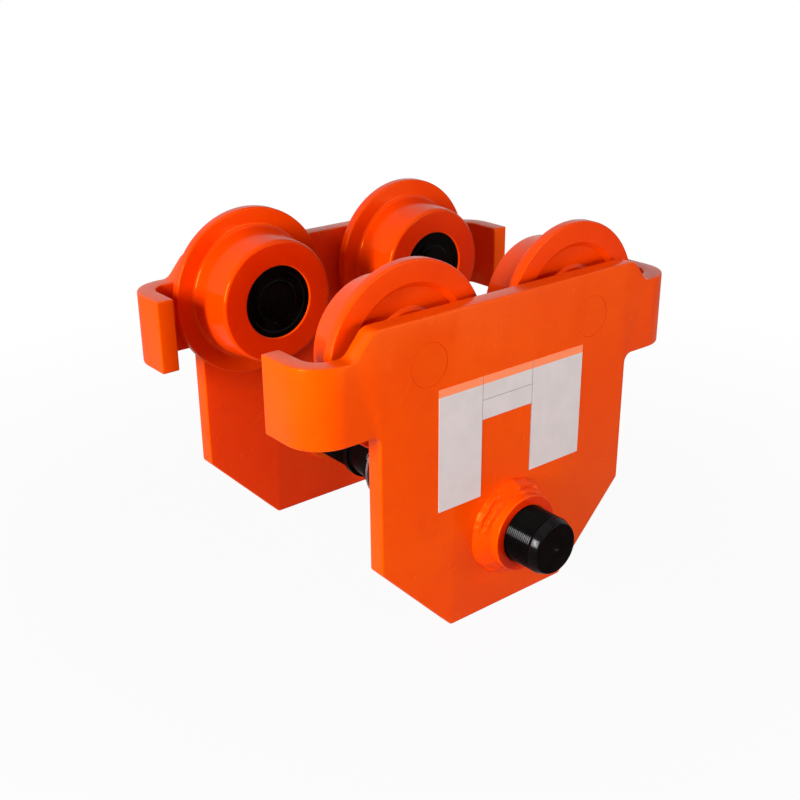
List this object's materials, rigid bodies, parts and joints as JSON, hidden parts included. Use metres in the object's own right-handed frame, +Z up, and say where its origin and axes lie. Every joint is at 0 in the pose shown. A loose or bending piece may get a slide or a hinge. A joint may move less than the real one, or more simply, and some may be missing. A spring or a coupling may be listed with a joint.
{
  "type": "manual beam trolley",
  "caption": "Manual beam trolley: bent side plates with flanged wheels, adjusted along a threaded load bar with a swinging suspension eye.",
  "frame": {"origin": "on the floor, under the middle of the trolley, where it stands on the flat bottom edges of its side plates", "axes": "+X along the beam it runs on, +Y across the beam from the labelled front plate to the rear plate, +Z up"},
  "size_m": [0.401, 0.389, 0.318],
  "materials": {
    "orange_paint": "semi-gloss orange enamel over steel",
    "black_steel": "glossy blackened steel",
    "bright_steel": "turned bright steel",
    "cap_plastic": "moulded black, glossy",
    "label_film": "blank pale grey film with a salmon band along its top"
  },
  "bodies": {
    "thrust_washers": {"front_thrust_washer": "bright_steel", "rear_thrust_washer": "bright_steel"},
    "suspension_eye": {"suspension_eye": "black_steel"},
    "load_bar": {"load_bar": "black_steel", "front_fixed_collar": "black_steel", "rear_fixed_collar": "black_steel", "front_spring_pin": "bright_steel", "rear_spring_pin": "bright_steel", "front_stop_ring": "black_steel", "rear_stop_ring": "black_steel"},
    "front_side": {"front_plate": "orange_paint", "front_threaded_collar": "orange_paint", "front_weld_bead": "orange_paint", "front_label": "label_film", "front_left_axle": "orange_paint", "front_left_inner_rings": "bright_steel", "front_left_balls": "bright_steel", "front_left_spacer": "bright_steel", "front_left_snap_ring": "black_steel", "front_right_axle": "orange_paint", "front_right_inner_rings": "bright_steel", "front_right_balls": "bright_steel", "front_right_spacer": "bright_steel", "front_right_snap_ring": "black_steel"},
    "rear_side": {"rear_plate": "orange_paint", "rear_threaded_collar": "orange_paint", "rear_weld_bead": "orange_paint", "rear_left_axle": "orange_paint", "rear_left_inner_rings": "bright_steel", "rear_left_balls": "bright_steel", "rear_left_spacer": "bright_steel", "rear_left_snap_ring": "black_steel", "rear_right_axle": "orange_paint", "rear_right_inner_rings": "bright_steel", "rear_right_balls": "bright_steel", "rear_right_spacer": "bright_steel", "rear_right_snap_ring": "black_steel"},
    "front_left_wheel": {"front_left_wheel": "orange_paint", "front_left_outer_rings": "bright_steel", "front_left_cap": "cap_plastic"},
    "front_right_wheel": {"front_right_wheel": "orange_paint", "front_right_outer_rings": "bright_steel", "front_right_cap": "cap_plastic"},
    "rear_left_wheel": {"rear_left_wheel": "orange_paint", "rear_left_outer_rings": "bright_steel", "rear_left_cap": "cap_plastic"},
    "rear_right_wheel": {"rear_right_wheel": "orange_paint", "rear_right_outer_rings": "bright_steel", "rear_right_cap": "cap_plastic"}
  },
  "joints": [
    {"name": "eye_swing", "type": "hinge", "parent": "thrust_washers", "child": "suspension_eye", "pos_m": [0, 0, 0.0735], "axis": [0, 1, 0], "range_deg": [-33, 146]},
    {"name": "bar_turn", "type": "hinge", "parent": "thrust_washers", "child": "load_bar", "pos_m": [0, 0, 0.0735], "axis": [0, 1, 0], "range_deg": [-10440, 4500]},
    {"name": "front_adjust", "type": "slide", "parent": "thrust_washers", "child": "front_side", "axis": [0, -1, 0], "range_m": [-0.058, 0.025]},
    {"name": "rear_adjust", "type": "slide", "parent": "thrust_washers", "child": "rear_side", "axis": [0, 1, 0], "range_m": [-0.058, 0.025]},
    {"name": "front_left_spin", "type": "hinge", "parent": "front_side", "child": "front_left_wheel", "pos_m": [-0.09, -0.0915, 0.241], "axis": [0, 1, 0], "continuous": true},
    {"name": "front_right_spin", "type": "hinge", "parent": "front_side", "child": "front_right_wheel", "pos_m": [0.09, -0.0915, 0.241], "axis": [0, 1, 0], "continuous": true},
    {"name": "rear_left_spin", "type": "hinge", "parent": "rear_side", "child": "rear_left_wheel", "pos_m": [-0.09, 0.0915, 0.241], "axis": [0, 1, 0], "continuous": true},
    {"name": "rear_right_spin", "type": "hinge", "parent": "rear_side", "child": "rear_right_wheel", "pos_m": [0.09, 0.0915, 0.241], "axis": [0, 1, 0], "continuous": true}
  ],
  "couplings": [
    {"joint": "bar_turn", "follows": "front_adjust", "rad_per_m": 3141.6},
    {"joint": "rear_adjust", "follows": "front_adjust", "ratio": 1}
  ]
}
